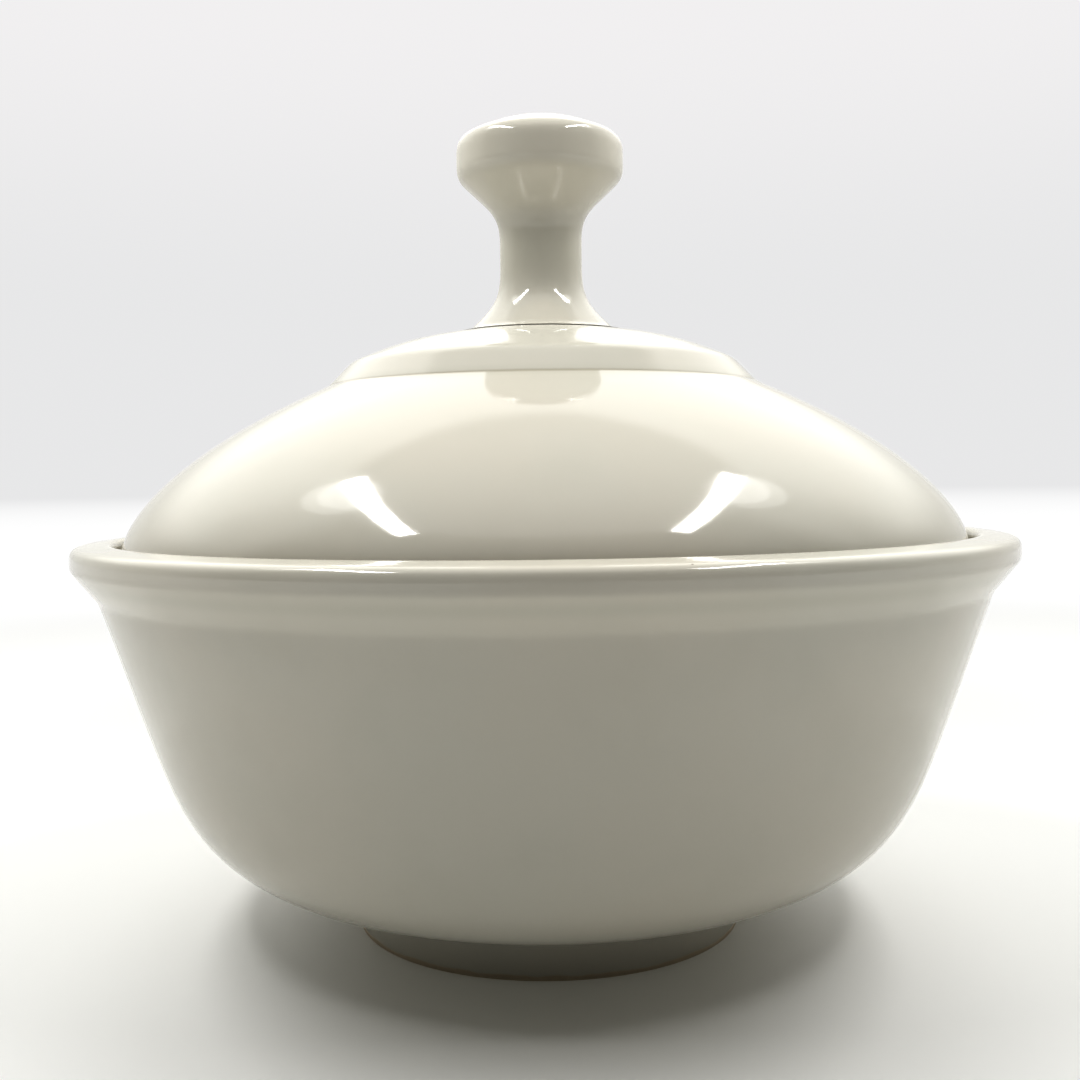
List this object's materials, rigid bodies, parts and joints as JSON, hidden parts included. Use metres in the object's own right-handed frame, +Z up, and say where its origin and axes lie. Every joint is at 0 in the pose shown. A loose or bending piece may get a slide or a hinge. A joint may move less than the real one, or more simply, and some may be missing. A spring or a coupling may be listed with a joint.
{
  "type": "covered casserole dish",
  "caption": "Footed round ceramic casserole bowl with a rolled rim and an inner ledge, and a stepped dome lid that lifts off by its mushroom knob.",
  "frame": {"origin": "centre of the foot ring's bearing face, on the dish's axis", "axes": "+Z up along the dish's axis, from the foot to the knob; +X and +Y lie in the plane of the table and are interchangeable, because the dish is round"},
  "size_m": [0.235, 0.235, 0.207],
  "materials": {
    "bowl_glaze": "glossy cream glaze",
    "foot_clay": "thin cream glaze on the side, dry wiped clay on the bearing face",
    "lid_glaze": "glossy cream glaze",
    "knob_glaze": "glossy cream glaze"
  },
  "bodies": {
    "bowl": {"bowl": "bowl_glaze", "foot_ring": "foot_clay"},
    "lid": {"lid": "lid_glaze", "knob": "knob_glaze"}
  },
  "joints": [
    {"name": "lid_lift", "type": "slide", "parent": "bowl", "child": "lid", "axis": [0, 0, 1], "range_m": [0, 0.12]}
  ]
}
